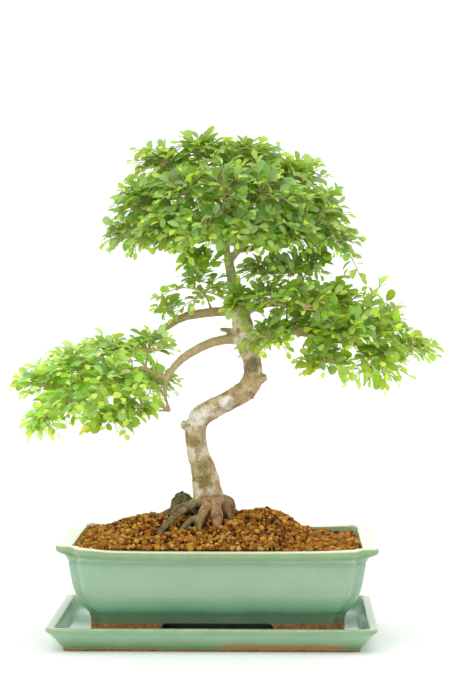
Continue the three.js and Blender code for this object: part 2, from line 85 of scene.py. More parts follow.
def mesh_piece(name, points, faces, material, uvs=None, colors=None):
    """A new smooth-shaded piece that rides on the one body. uvs holds an array per UV map, a pair per corner."""
    mesh = bpy.data.meshes.new(name)
    mesh.from_pydata(np.asarray(points).tolist(), [], [tuple(face) for face in faces])
    for map_name, values in (uvs or {}).items():
        layer = mesh.uv_layers.new(name=map_name)
        layer.uv.foreach_set("vector", np.asarray(values, dtype=np.float32).ravel())
    if colors is not None:
        set_tints(mesh, colors)
    mesh.shade_smooth()
    mesh.materials.append(material)
    piece = new_object(name, mesh)
    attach(piece, BODY)
    return piece


def node_arrays(name):
    """A CAD node's vertices and triangles in world space."""
    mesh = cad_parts[name].data
    points = np.empty(len(mesh.vertices) * 3)
    mesh.vertices.foreach_get("co", points)
    return points.reshape(-1, 3), [tuple(p.vertices) for p in mesh.polygons]


def surface_of(name):
    """A CAD node's surface, for ray casts and nearest points."""
    points, faces = node_arrays(name)
    return BVHTree.FromPolygons([Vector(p) for p in points], faces)


def kd_tree(points):
    tree = KDTree(len(points))
    for i, p in enumerate(points):
        tree.insert(Vector(p), i)
    tree.balance()
    return tree


def applied(piece):
    """Replaces a piece's mesh by the result of its modifiers."""
    graph = bpy.context.evaluated_depsgraph_get()
    result = bpy.data.meshes.new_from_object(piece.evaluated_get(graph))
    piece.modifiers.clear()
    piece.data = result
    return result


def coordinates(mesh):
    points = np.empty(len(mesh.vertices) * 3)
    mesh.vertices.foreach_get("co", points)
    return points.reshape(-1, 3)


def normals(mesh):
    values = np.empty(len(mesh.vertices) * 3)
    mesh.vertex_normals.foreach_get("vector", values)
    return values.reshape(-1, 3)


def fine_grid(piece, size, smoothing=0):
    """Remeshes a piece into an even grid for fine relief, and gives its mesh, points and normals."""
    grid = piece.modifiers.new("grid", "REMESH")
    grid.mode = "VOXEL"
    grid.voxel_size = size
    if smoothing:
        even = piece.modifiers.new("even", "SMOOTH")
        even.factor = 0.5
        even.iterations = smoothing
    mesh = applied(piece)
    mesh.shade_smooth()
    return mesh, coordinates(mesh), normals(mesh)


def set_coordinates(mesh, points):
    mesh.vertices.foreach_set("co", points.ravel())


def fbm(points, scale, octaves=3, shift=0.0):
    """Fractal noise, about -1 to 1, at each point; scale is the size of its largest bumps."""
    offset = Vector((shift, shift * 0.7, -shift))
    return np.array([noise.fractal(Vector(p) / scale + offset, 1.0, 2.0, octaves) for p in points])


# ---------------------------------------------------------------- materials


class Shader:
    """A material made of a Principled shader and a few nodes wired into it."""

    def __init__(self, name):
        self.material = bpy.data.materials.new(name)
        self.material.use_nodes = True
        self.tree = self.material.node_tree
        self.bsdf = self.tree.nodes["Principled BSDF"]
        self.output = self.tree.nodes["Material Output"]

    def node(self, kind, inputs=None, **settings):
        made = self.tree.nodes.new("ShaderNode" + kind)
        for key, value in settings.items():
            setattr(made, key, value)
        for key, value in (inputs or {}).items():
            self.set(made.inputs[key], value)
        return made

    def set(self, socket, value):
        if isinstance(value, bpy.types.NodeSocket):
            self.tree.links.new(value, socket)
        elif isinstance(value, tuple) and len(value) == 3 and socket.type == "RGBA":
            socket.default_value = (*value, 1)
        else:
            socket.default_value = value

    def attribute(self, name):
        return self.node("Attribute", attribute_name=name).outputs["Color"]

    def position(self):
        return self.node("TexCoord").outputs["Object"]

    def noise(self, scale, detail=4, roughness=0.55, vector=None):
        """Noise whose bumps are about scale metres wide."""
        inputs = {"Scale": 1 / scale, "Detail": detail, "Roughness": roughness}
        return self.node("TexNoise", {"Vector": vector or self.position(), **inputs}).outputs["Fac"]

    def ramp(self, value, stops):
        """A smooth ramp: stops are (place, number or screen colour)."""
        made = self.node("ValToRGB", {"Fac": value})
        ramp = made.color_ramp
        while len(ramp.elements) < len(stops):
            ramp.elements.new(0.5)
        for element, (place, color) in zip(ramp.elements, stops, strict=True):
            element.position = place
            element.color = (*srgb(*color), 1) if isinstance(color, tuple) else (color, color, color, 1)
        return made.outputs["Color"]

    def mix(self, factor, a, b, blend="MIX"):
        made = self.node("Mix", data_type="RGBA", blend_type=blend)
        self.set(made.inputs["Factor"], factor)
        self.set(made.inputs["A"], a)
        self.set(made.inputs["B"], b)
        return made.outputs["Result"]

    def math(self, operation, a, b=0.0, clamp=False):
        made = self.node("Math", operation=operation, use_clamp=clamp)
        self.set(made.inputs[0], a)
        self.set(made.inputs[1], b)
        return made.outputs["Value"]

    def bump(self, height, distance, strength=1.0):
        made = self.node("Bump", {"Height": height, "Distance": distance, "Strength": strength})
        self.set(self.bsdf.inputs["Normal"], made.outputs["Normal"])

    def finish(self, color, roughness, specular=0.5, metallic=0.0):
        self.set(self.bsdf.inputs["Base Color"], color)
        self.set(self.bsdf.inputs["Roughness"], roughness)
        self.set(self.bsdf.inputs["Specular IOR Level"], specular)
        self.set(self.bsdf.inputs["Metallic"], metallic)
        return self.material


# The glaze's colour from the foot (0) to the rim (1), and its thin, pale colours on surfaces that face up.
GLAZE_RUNS = {
    "pot_glaze": [
        (0.0, (84, 96, 56)), (0.215, (78, 92, 52)), (0.255, (64, 104, 72)), (0.295, (60, 100, 70)),
        (0.335, (98, 158, 120)), (0.385, (126, 178, 144)), (0.45, (150, 180, 152)),
        (0.8, (152, 182, 154)), (0.865, (138, 170, 142)), (0.895, (164, 192, 160)),
        # The stops from 0.94 to the rim are olive glaze on the rim's face, darkened further as painted shade.
        (0.94, (130, 156, 108)), (1.0, (142, 166, 114)),
    ],
    "tray_glaze": [
        (0.0, (96, 128, 78)), (0.16, (98, 130, 74)), (0.3, (122, 152, 100)), (0.45, (138, 172, 132)),
        (0.65, (152, 188, 156)), (0.85, (142, 174, 136)), (1.0, (128, 152, 98)),
    ],
}
GLAZE_PALES = {
    "pot_glaze": (srgb(238, 242, 214), srgb(226, 236, 208)),
    "tray_glaze": (srgb(214, 236, 224), srgb(190, 222, 206)),
}
# How far up a surface faces where its glaze starts to thin, and where it is thinnest.
GLAZE_THINS = {"pot_glaze": (0.7, 1.0), "tray_glaze": (0.3, 0.75)}
LIP_BAND = 1.4 * MM  # the mottled top of the tray's lip
STRIP_RUN = [(0.0, 0.0), (0.012, 1.0), (0.098, 1.0), (0.108, 0.0)]  # the tray's bare strip along X, in metres
STRIP_DEPTH = 12.9 * MM  # how far back it reaches


def glaze_material(name, low, high, clay_top, pale_above, bare_strip=0.0, under_pot_shade=None):
    """Celadon glaze between two heights, over bare clay below clay_top, which bare_strip lifts in front on the
    right. Surfaces above pale_above that face up are pale. The last argument, if given, is the (x, y) half size of
    a patch of painted shade in the middle: the floor under the pot, painted dark and made dull."""
    s = Shader(name)
    place = s.node("SeparateXYZ", {"Vector": s.position()}).outputs
    facing = s.node("SeparateXYZ", {"Vector": s.node("NewGeometry").outputs["Normal"]}).outputs["Z"]
    waver = s.math("MULTIPLY", s.math("SUBTRACT", s.noise(30 * MM, 3), 0.5), 3 * MM)
    level = s.math("DIVIDE", s.math("SUBTRACT", s.math("ADD", place["Z"], waver), low.z), high.z - low.z)
    run = s.ramp(level, GLAZE_RUNS[name])
    cloud = s.ramp(s.noise(24 * MM, 5, 0.6), [(0.35, (132, 168, 138)), (0.65, (164, 196, 170))])
    color = s.mix(0.22, run, cloud)
    wavy = s.math("ADD", facing, s.math("MULTIPLY", s.noise(6 * MM), 0.2))
    thin = s.ramp(wavy, list(zip(GLAZE_THINS[name], (0.0, 1.0), strict=True)))
    thin = s.math("MULTIPLY", thin, s.math("GREATER_THAN", place["Z"], pale_above), clamp=True)
    color = s.mix(thin, color, s.mix(s.noise(9 * MM, 3), *GLAZE_PALES[name]))
    if name == "tray_glaze":
        lip = s.math("GREATER_THAN", place["Z"], high.z - LIP_BAND)
        color = s.mix(lip, color, s.mix(s.noise(7 * MM, 3), srgb(132, 152, 98), srgb(186, 208, 168)))
    specks = s.ramp(s.noise(1.1 * MM, 1), [(0.70, 0.0), (0.76, 0.5)])
    color = s.mix(specks, color, srgb(74, 88, 62))
    rough = (0.12, 0.12, 0.12)
    # Painted shade: the floor under the pot is painted dark and made dull.
    if under_pot_shade:
        middle = (low + high) / 2
        sides = [
            s.math("LESS_THAN", s.math("ABSOLUTE", s.math("SUBTRACT", place[axis], middle[i])), under_pot_shade[i])
            for i, axis in enumerate("XY")
        ]
        shade_under_pot = s.math("MULTIPLY", *sides)
        color = s.mix(shade_under_pot, color, srgb(34, 40, 34))
        rough = s.mix(shade_under_pot, rough, (0.6, 0.6, 0.6))
    clay = s.ramp(s.noise(2.5 * MM, 5, 0.7), [(0.3, (84, 56, 30)), (0.5, (146, 96, 50)), (0.72, (190, 130, 72))])
    uneven = s.math("SUBTRACT", s.noise(12 * MM, 3), 0.5)
    edge = s.math("ADD", place["Z"], s.math("MULTIPLY", uneven, 1.6 * MM))
    if bare_strip:
        strip = s.ramp(place["X"], STRIP_RUN)
        strip = s.math("MULTIPLY", strip, s.math("LESS_THAN", place["Y"], low.y + STRIP_DEPTH))
        edge = s.math("SUBTRACT", edge, s.math("MULTIPLY", strip, bare_strip))
        clay = s.mix(strip, clay, s.mix(0.6, clay, srgb(206, 138, 78)))
    bare = s.math("LESS_THAN", edge, clay_top)
    color = s.mix(bare, color, clay)
    pits = s.math("MULTIPLY", s.noise(1.6 * MM, 2), 0.1)
    s.bump(s.math("ADD", s.noise(26 * MM, 2), pits), 0.8 * MM, 0.3)
    return s.finish(color=color, roughness=s.mix(bare, rough, (0.85, 0.85, 0.85)), specular=0.5)


def leaf_material():
    """Elm leaf: the tint of each leaf, a paler midrib and side veins, and light that shines through."""
    s = Shader("elm_leaf")
    uv = s.node("UVMap", uv_map="leaf").outputs["UV"]
    place = s.node("SeparateXYZ", {"Vector": uv}).outputs
    across = s.math("ABSOLUTE", s.math("SUBTRACT", place["X"], 0.5))
    along = place["Y"]
    tint = s.attribute("tint")
    slant = s.math("SUBTRACT", along, s.math("MULTIPLY", across, 0.9))
    ribs = s.math("SINE", s.math("MULTIPLY", slant, 62))
    side = s.ramp(ribs, [(0.72, 0.0), (1.0, 0.35)])
    midrib = s.ramp(across, [(0.02, 0.8), (0.055, 0.0)])
    veins = s.math("MAXIMUM", midrib, side)
    mottled = s.mix(s.noise(2.2 * MM, 3), s.mix(1.0, tint, (0.82, 0.86, 0.8), "MULTIPLY"), tint)
    color = s.mix(veins, mottled, s.mix(0.4, tint, srgb(196, 214, 128)))
    s.finish(color=color, roughness=0.4, specular=0.75)
    s.bump(s.math("SUBTRACT", 1.0, veins), 0.25 * MM, 0.5)
    glow = s.mix(1.0, color, (1.6, 1.4, 0.6), "MULTIPLY")
    through = s.node("BsdfTranslucent", {"Color": glow})
    blend = s.node("MixShader", {0: 0.5, 1: s.bsdf.outputs[0], 2: through.outputs[0]})
    s.tree.links.new(blend.outputs[0], s.output.inputs["Surface"])
    return s.material


def bark_material():
    """Pale elm bark: the tint painted on the mesh, broken by flakes, dark pores and chalky patches."""
    s = Shader("elm_bark")
    stretched = s.node("Mapping", {"Vector": s.position(), "Scale": (1, 1, 1.9)}).outputs["Vector"]
    tint = s.attribute("tint")
    patches = s.ramp(s.noise(7 * MM, 5, 0.65), [(0.34, 0.78), (0.5, 1.0), (0.68, 1.16)])
    color = s.mix(1.0, tint, patches, "MULTIPLY")
    flakes = s.noise(1.5 * MM, 4, 0.7, stretched)
    color = s.mix(s.ramp(flakes, [(0.54, 0.0), (0.66, 0.45)]), color, srgb(236, 226, 204))
    pores = s.ramp(s.noise(0.9 * MM, 2, 0.5, stretched), [(0.31, 0.85), (0.42, 0.0)])
    color = s.mix(pores, color, srgb(122, 94, 56))
    s.bump(s.math("ADD", flakes, s.math("MULTIPLY", s.noise(4 * MM, 4), 0.8)), 0.6 * MM, 0.8)
    return s.finish(color=color, roughness=0.82, specular=0.25)


def twig_material():
    s = Shader("elm_twig")
    # The pale tan is partly the twigs' own colour and partly painted light, lifting the thin twigs out of the
    # foliage's shade.
    color = s.mix(s.noise(1.2 * MM, 3), s.attribute("tint"), srgb(204, 168, 118))
    s.bump(s.noise(0.7 * MM, 3), 0.2 * MM, 0.5)
    return s.finish(color=color, roughness=0.7, specular=0.3)


def granule_material():
    """Fired clay: the tint of each granule, dusty and pitted."""
    s = Shader("clay_granule")
    dust = s.ramp(s.noise(1.3 * MM, 4, 0.7), [(0.3, 0.6), (0.55, 1.0), (0.75, 1.35)])
    color = s.mix(1.0, s.attribute("tint"), dust, "MULTIPLY")
    s.bump(s.noise(0.8 * MM, 4, 0.7), 0.5 * MM, 0.9)
    return s.finish(color=color, roughness=0.95, specular=0.15)


def moss_material():
    s = Shader("moss")
    color = s.ramp(s.noise(1.6 * MM, 4, 0.7), [
        (0.3, (44, 46, 28)), (0.46, (92, 94, 58)), (0.6, (134, 138, 88)), (0.76, (176, 172, 120)),
    ])
    s.bump(s.noise(1.0 * MM, 4, 0.7), 0.8 * MM, 1.0)
    return s.finish(color=color, roughness=1.0, specular=0.1)


def moulded_material(name, color, rough, metallic=0.0):
    """A moulded or drawn surface: fine streaks in its colour, a faint bump and an even roughness."""
    s = Shader(name)
    shade = s.mix(s.noise(3 * MM, 3), tuple(0.8 * c for c in color), tuple(1.15 * c for c in color))
    s.bump(s.noise(0.5 * MM, 2), 0.1 * MM, 0.3)
    return s.finish(color=shade, roughness=rough, metallic=metallic)


# ---------------------------------------------------------------- pottery


def filleted(corners, radii, arc_steps, side_steps):
    """A closed outline through rounded corners, with side_steps points along the side after each corner."""
    outline, arcs = [], []
    count = len(corners)
    turn = [math.sin(0.5 * math.pi * k / arc_steps) for k in range(arc_steps + 1)]
    for i in range(count):
        before, here, after = (np.array(corners[(i + k) % count], dtype=float) for k in (-1, 0, 1))
        into = (here - before) / np.linalg.norm(here - before)
        out = (after - here) / np.linalg.norm(after - here)
        centre = here + (out - into) * radii[i]
        start = here - into * radii[i] - centre
        end = here + out * radii[i] - centre
        arcs.append([centre + start * turn[arc_steps - k] + end * turn[k] for k in range(arc_steps + 1)])
    for i in range(count):
        outline += arcs[i]
        a, b = arcs[i][-1], arcs[(i + 1) % count][0]
        outline += [a + (b - a) * k / (side_steps[i] + 1) for k in range(1, side_steps[i] + 1)]
    return np.array(outline)


LONG_SIDE, SHORT_SIDE, ARC, NOTCH_SIDE = 28, 21, 4, 1  # points on the sides and steps in each rounded corner


def stepped_outline(half_x, half_y, step_x, step_y):
    """A rectangle whose corners step in: rounded softly where they stand out, tighter where they step in."""
    x, y = half_x - step_x, half_y - step_y
    corners = [
        (half_x, y), (x, y), (x, half_y), (-x, half_y), (-x, y), (-half_x, y),
        (-half_x, -y), (-x, -y), (-x, -half_y), (x, -half_y), (x, -y), (half_x, -y),
    ]
    step = min(step_x, step_y)
    radii = [0.7 * step, 0.28 * step, 0.7 * step] * 4
    sides = [NOTCH_SIDE, NOTCH_SIDE, LONG_SIDE, NOTCH_SIDE, NOTCH_SIDE, SHORT_SIDE] * 2
    return filleted(corners, radii, ARC, sides)


def rounded_outline(half_x, half_y, radius):
    """A rectangle with rounded corners and as many points as the stepped one, so that rings of both join."""
    corners = [(half_x, half_y), (-half_x, half_y), (-half_x, -half_y), (half_x, -half_y)]
    per_corner = 3 * (ARC + 1) + 2 * NOTCH_SIDE - 1
    return filleted(corners, [radius] * 4, per_corner, [LONG_SIDE, SHORT_SIDE, LONG_SIDE, SHORT_SIDE])


def vessel(name, low, high, profile, material):
    """A body closed at both ends, from its profile: (outline, height) from under the foot, over the rim and down
    inside."""
    middle = (low + high) / 2
    count = len(profile[0][0])
    points = [(x + middle.x, y + middle.y, z) for ring, z in profile for x, y in ring]
    faces = []
    for r in range(len(profile) - 1):
        for i in range(count):
            a, b = r * count + i, r * count + (i + 1) % count
            faces.append((a, b, b + count, a + count))
    last = (len(profile) - 1) * count
    faces.append(tuple(reversed(range(count))))
    faces.append(tuple(range(last, last + count)))
    piece = mesh_piece(name, points, faces, material)
    creases = piece.data.attributes.new("crease_edge", "FLOAT", "EDGE")
    ends = {frozenset((base + i, base + (i + 1) % count)) for base in (0, last) for i in range(count)}
    creases.data.foreach_set("value", [float(frozenset(edge.vertices) in ends) for edge in piece.data.edges])
    piece.modifiers.new("round", "SUBSURF").levels = 1
    return piece


def cutter(shape):
    """An object from a bmesh, to cut other pieces with."""
    mesh = bpy.data.meshes.new("cutter")
    shape.to_mesh(mesh)
    shape.free()
    return new_object("cutter", mesh)


def block(low, high, round_by):
    """A cutter box between two corners, with its edges rounded."""
    low, high = Vector(low), Vector(high)
    shape = bmesh.new()
    bmesh.ops.create_cube(shape, size=1)
    bmesh.ops.transform(shape, matrix=Matrix.Diagonal((*(high - low), 1)), verts=shape.verts)
    bmesh.ops.bevel(shape, geom=shape.edges[:], offset=round_by, segments=4, affect="EDGES", profile=0.5)
    bmesh.ops.transform(shape, matrix=Matrix.Translation((high + low) / 2), verts=shape.verts)
    return cutter(shape)


def bore(x, y, low, high, radius):
    """An upright cutter cylinder."""
    shape = bmesh.new()
    bmesh.ops.create_cone(shape, cap_ends=True, segments=48, radius1=radius, radius2=radius, depth=high - low)
    bmesh.ops.translate(shape, vec=(x, y, (low + high) / 2), verts=shape.verts)
    return cutter(shape)


def finish_pottery(piece, cutters=(), warp=None):
    """Makes the cuts, gives the surface the slight waves of a hand-pressed pot and lifts it by warp(x, y, z)."""
    for tool in cutters:
        step = piece.modifiers.new("cut", "BOOLEAN")
        step.operation = "DIFFERENCE"
        step.solver = "EXACT"
        step.object = tool
    mesh = applied(piece)
    for tool in cutters:
        bpy.data.objects.remove(tool)
    points = coordinates(mesh)
    sideways = normals(mesh) * (1, 1, 0.3)
    wave = 0.2 * MM * fbm(points, 38 * MM, 2, 3.0) + 0.05 * MM * fbm(points, 9 * MM, 2, 8.0)
    points += sideways * wave[:, None]
    if warp:
        points[:, 2] += warp(*points.T)
    set_coordinates(mesh, points)
    mesh.shade_smooth()
    mesh.set_sharp_from_angle(angle=math.radians(40))


POT_FOOT, POT_FLOOR, RIM_DEPTH = 17 * MM, 7 * MM, 9.5 * MM
WALL_STEP, RIM_STEP_X, RIM_STEP_Y = 7.5, 15, 12  # how far the corners step in, in millimetres
FOOT_INSET, FOOT_WIDTH = 26.5, 12  # of the four feet, in millimetres
GAP_X, GAP_Y = 44 * MM, 32 * MM  # half the gaps between the feet
DRAIN_PLACE, DRAIN_RADIUS = 55 * MM, 10 * MM


def build_pot():
    low, high = (Vector(c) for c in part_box("pot"))
    half_x, half_y = (high.x - low.x) / 2, (high.y - low.y) / 2
    top, foot = high.z, low.z
    body = foot + POT_FOOT
    inside = body + POT_FLOOR
    shoulder = top - RIM_DEPTH

    def outer(inset, z, rim_share=0.0):
        """The stepped outline, inset millimetres in, with the wall's steps (0) or the rim's (1)."""
        step_x = (WALL_STEP + (RIM_STEP_X - WALL_STEP) * rim_share) * MM
        step_y = (WALL_STEP + (RIM_STEP_Y - WALL_STEP) * rim_share) * MM
        return stepped_outline(half_x - inset * MM, half_y - inset * MM, step_x, step_y), z

    def inner(inset, z):
        return rounded_outline(half_x - inset * MM, half_y - inset * MM, 12 * MM), z

    def wall(share):
        """A height between the body's bottom (0) and the shoulder (1)."""
        return body + (shoulder - body) * share

    outside = [
        (27.2, foot), (FOOT_INSET, foot + 0.8 * MM), (FOOT_INSET, foot + 8 * MM), (FOOT_INSET, body - 1 * MM),
        (26.4, body + 0.2 * MM), (25.9, body + 1.4 * MM), (25.4, body + 3.6 * MM), (25.0, body + 4.6 * MM),
        (23.9, body + 5.6 * MM), (21.4, wall(0.19)), (17.2, wall(0.31)), (14.5, wall(0.45)), (12.9, wall(0.58)),
        (11.6, wall(0.74)), (10.2, shoulder - 4.6 * MM), (9.8, shoulder - 3.4 * MM), (10.3, shoulder - 2.4 * MM),
        (10.0, shoulder - 1.4 * MM), (8.9, shoulder - 0.5 * MM), (8.5, shoulder + 0.5 * MM, 0.1),
        (8.0, shoulder + 1.3 * MM, 0.3), (5.4, shoulder + 2.2 * MM, 0.7), (1.9, shoulder + 3.6 * MM, 1),
        (0.5, shoulder + 4.5 * MM, 1), (0, shoulder + 5.6 * MM, 1), (0, top - 2.2 * MM, 1),
        (0.7, top - 0.7 * MM, 1), (2.2, top, 1), (4.8, top, 1),
    ]
    cavity = [
        (10.5, top - 0.1 * MM), (12.4, top - 0.3 * MM), (13.3, top - 1.1 * MM), (13.7, top - 2.6 * MM),
        (16.4, shoulder), (18.6, wall(0.74)), (21.5, wall(0.45)), (24.6, wall(0.31)), (28.6, inside + 2.4 * MM),
        (31.4, inside + 0.3 * MM), (34, inside),
    ]
    profile = [outer(*station) for station in outside] + [inner(*station) for station in cavity]
    material = glaze_material("pot_glaze", low, high, body - 3.4 * MM, top - 1.8 * MM)
    pot = vessel("pot_body", low, high, profile, material)
    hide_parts("pot")
    middle = (low + high) / 2
    legs = (FOOT_INSET + FOOT_WIDTH) * MM
    arch = body - 3 * MM
    below = foot - 10 * MM
    drain_top = inside + 10 * MM
    cutters = [
        block((low.x + legs, low.y + legs, below), (high.x - legs, high.y - legs, body), 2 * MM),
        block((middle.x - GAP_X, low.y, below), (middle.x + GAP_X, high.y, arch), 4 * MM),
        block((low.x, middle.y - GAP_Y, below), (high.x, middle.y + GAP_Y, arch), 4 * MM),
        bore(middle.x - DRAIN_PLACE, middle.y, foot, drain_top, DRAIN_RADIUS),
        bore(middle.x + DRAIN_PLACE, middle.y, foot, drain_top, DRAIN_RADIUS),
    ]

    def warp(x, y, z):
        """The rim rises toward both ends, more on the left, and sags a little in the middle of its front."""
        u, v = (x - middle.x) / half_x, (y - middle.y) / half_y
        rise = 2.4 * smooth(abs(u), 0.6, 1.0)
        sag = 0.5 * (1 - smooth(abs(u), 0.2, 0.8)) * np.sign(-v) * (abs(v) > 0.6)
        return (rise - sag) * (1 - 0.45 * u) * MM * smooth(z, shoulder - 15 * MM, top)

    finish_pottery(pot, cutters, warp)


def build_tray():
    low, high = (Vector(c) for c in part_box("drip_tray"))
    half_x, half_y = (high.x - low.x) / 2, (high.y - low.y) / 2
    top, floor = high.z, low.z + 5.7 * MM

    def ring(inset, z):
        radius = max(9 - inset * 0.3, 3) * MM
        return rounded_outline(half_x - inset * MM, half_y - inset * MM, radius), z

    profile = [ring(inset, z) for inset, z in [
        (14.6, low.z), (13.6, low.z + 0.3 * MM), (13.3, low.z + 1.6 * MM), (13.2, low.z + 2.6 * MM),
        (12.6, low.z + 3.3 * MM), (11.4, low.z + 4.2 * MM), (8.8, low.z + 7.8 * MM), (5.4, top - 7.1 * MM),
        (2.6, top - 4.9 * MM), (0.6, top - 3.3 * MM), (0, top - 2.0 * MM), (0.25, top - 0.7 * MM), (1.2, top),
        (5.2, top), (6.5, top - 0.3 * MM), (7.4, top - 1.6 * MM), (9.4, floor + 5 * MM),
        (11.2, floor + 1.4 * MM), (13.5, floor + 0.2 * MM), (19, floor),
    ]]
    # The half size of the painted shade on the tray's floor under the pot.
    under_pot = (half_x - 30 * MM, half_y - 30 * MM)
    material = glaze_material("tray_glaze", low, high, low.z + 1.6 * MM, low.z, 4.2 * MM, under_pot)
    tray = vessel("tray_body", low, high, profile, material)
    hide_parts("drip_tray")
    finish_pottery(tray)


# ---------------------------------------------------------------- wood


pot_low, pot_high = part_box("pot")
pot_middle = (Vector(pot_low) + Vector(pot_high)) / 2
TRUNK_FOOT = Vector((pot_middle.x - 8 * MM, 0, pot_high[2] + 15 * MM))


def from_foot(x, y, z):
    """A place given in millimetres from the trunk's foot."""
    return TRUNK_FOOT + Vector((x, y, z)) * MM


# Old cuts on the trunk: middle of the ring, direction of the trunk there, strength.
SCARS = [
    (from_foot(29.5, -6, 104), Vector((0.6, 0, 0.8)), 0.7),
    (from_foot(33, -1, 135), Vector((-0.3, 0.1, 0.95)), 0.5),
    (from_foot(24, 4, 170), Vector((-0.2, 0, 1)), 0.5),
]
WOUND = from_foot(28, -7, 157)

# The line the trunk follows, in millimetres from its foot.
TRUNK_LINE = [
    (4, 0, -34), (1, 0, 0), (-1.5, 0, 22), (-5.5, 0, 42), (-11, 0, 61), (-12, -1, 72), (-10, -2, 81),
    (-3, -3, 87), (7, -5, 93), (19, -6, 99), (29, -6, 105), (34.5, -5, 113), (35, -3, 123), (34, -1, 132),
    (30, 1, 141), (28, 2, 150), (26.5, 3, 160), (24, 4, 170), (21, 4, 180), (19, 5, 190), (17.2, 5, 200),
    (15, 5, 211),
]

# Patches on the front of the bark: place from the trunk's foot, radius, colour, strength.
CHALK, OLIVE, WEATHERED = (240, 237, 226), (118, 112, 46), (98, 84, 66)
PATCHES = [
    ((34, -8, 126), 6.5, WEATHERED, 0.8), ((30, -6, 121), 4, WEATHERED, 0.6), ((13, -12, 97), 6, CHALK, 0.9),
    ((-12, -10, 83), 9, CHALK, 0.85), ((-2, -12, 88), 6, CHALK, 0.6), ((6, -10, 12), 7, CHALK, 0.4),
    ((26, -5, 148), 5, CHALK, 0.6), ((-4, -12, 31), 7, OLIVE, 0.85), ((-7, -10, 43), 4, OLIVE, 0.7),
    ((20, -12, 92), 6, OLIVE, 0.5), ((-12, -8, 63), 4, OLIVE, 0.6), ((-9, -10, 54), 3, OLIVE, 0.5),
]
FRESH_CUT = (10, -18, 3)  # the orange cut on a front root, in millimetres from the trunk's foot

# Knobs that swell out of the roots, and painted shade in the hollows between them: place, radius, height or
# strength.
SWELLINGS = [((15, -5, 12), 11, 2.4), ((1, -17, 4), 7, 1.3), ((9, -17, 4), 7, 1.3), ((-2, -15, 13), 6, 0.8)]
HOLLOW_SHADES = [((-10, -8, 8), 8, 0.95), ((-10, -8, 1), 7, 0.95), ((4, -9, 5), 5, 0.85), ((12, -11, 3), 4, 0.8)]

# The roots' colour, from left to right across the foot.
ROOT_TINTS = [(-40, (100, 92, 46)), (-16, (122, 108, 60)), (-9, (150, 130, 88)), (-2, (180, 136, 90)),
              (7, (164, 122, 78)), (16, (142, 104, 64)), (40, (104, 72, 40))]


def distance(points, place, stretch=(1, 1, 1)):
    """How far each point is from a place, with each axis weighed by stretch."""
    return np.linalg.norm((points - np.array(place)) * stretch, axis=1)


def from_trunk_line(local):
    """How far each point is from the line that the trunk follows, in millimetres."""
    line = np.array(TRUNK_LINE, dtype=float)
    shares = np.linspace(0, 1, 8)[:, None]
    tree = kd_tree(np.concatenate([a + (b - a) * shares for a, b in zip(line[:-1], line[1:], strict=True)]))
    return np.array([tree.find(Vector(p))[2] for p in local])


def scar_rings(points, coarse):
    """The old cuts round the trunk: above 0 on the raised ring, below 0 in the groove beside it."""
    rings = np.zeros(len(points))
    for middle, along, strength in SCARS:
        away = points - np.array(middle)
        axis = np.array(along.normalized())
        radial = np.linalg.norm(away - np.outer(away @ axis, axis), axis=1) / MM
        wobble = away @ axis / MM + 1.3 * coarse
        ridge = np.exp(-((wobble / 0.8) ** 2)) - 0.7 * np.exp(-(((wobble - 2.4) / 1.0) ** 2))
        rings += strength * (1 - smooth(radial, 11, 15)) * ridge
    return rings


def paint(color, target, weight):
    """Blends each linear colour toward one screen colour, by a weight for each."""
    return color + (np.array(srgb(*target)) - color) * np.clip(weight, 0, 1)[:, None]


def bark_colors(points, local, stem, trunk, coarse, grain, rings, to_wound):
    """The bark's linear colour at each point. stem is 1 on the whole trunk and trunk is 1 below the crown."""
    height = local[:, 2]
    flecks = fbm(points, 5 * MM, 3, 12.0)
    color = np.tile(srgb(184, 160, 116), (len(points), 1))
    color = paint(color, (190, 170, 126), trunk)
    # Painted light: the stem is painted paler up under the crown, to lift it out of the crown's shade.
    color = paint(color, (240, 226, 196), stem * smooth(height, 125, 155) * 0.85)
    color = paint(color, (236, 227, 204), trunk * smooth(coarse, 0.0, 0.4) * 0.7)
    color = paint(color, (176, 150, 104), trunk * smooth(-coarse, 0.1, 0.5) * 0.65)
    color = paint(color, (150, 116, 66), trunk * smooth(flecks, 0.28, 0.5) * 0.75)
    color = paint(color, (196, 178, 130), (1 - trunk) * smooth(grain, 0.0, 0.5) * 0.6)
    for place, radius, target, strength in PATCHES:
        away = distance(local, place, (1, 0.35, 1)) + 2.5 * coarse + 3.5 * flecks
        color = paint(color, target, strength * (1 - smooth(away, 0.55 * radius, 1.1 * radius)))
    low_trunk = trunk * smooth(-height, -24, -4)
    color = paint(color, (150, 122, 58), low_trunk * smooth(grain + coarse, -0.2, 0.5) * 0.5)

    flare = height - 0.1 * local[:, 0] + 3 * coarse
    root = smooth(-flare, -22, -15)
    across, tints = zip(*ROOT_TINTS, strict=True)
    linear = np.array([srgb(*tint) for tint in tints])
    under = np.stack([np.interp(local[:, 0], across, linear[:, i]) for i in range(3)], axis=1)
    color += (under - color) * (0.94 * root)[:, None]
    color = paint(color, (84, 60, 34), root * smooth(-grain, 0.05, 0.5) * 0.7)
    color = paint(color, (226, 98, 40), 1 - smooth(distance(local, FRESH_CUT), 2.4, 4.2))
    color = paint(color, (98, 72, 42), 0.6 * trunk * np.exp(-(((flare - 19) / 1.3) ** 2)))
    # Painted shade: dark brown in the hollows between the roots.
    for place, radius, strength in HOLLOW_SHADES:
        hollow_shade = 1 - smooth(distance(local, place), 0.5 * radius, 1.2 * radius)
        color = paint(color, (46, 32, 18), strength * hollow_shade)
    color = paint(color, (214, 196, 160), root * smooth(grain + coarse, 0.35, 0.9) * 0.3)

    color = paint(color, (176, 122, 60), np.clip(rings * 1.4, 0, 1) * 0.85)
    color = paint(color, (120, 84, 48), np.clip(-rings, 0, 1) * 0.9)
    return paint(color, (226, 196, 150), 1 - smooth(to_wound, 3.4, 4.8))


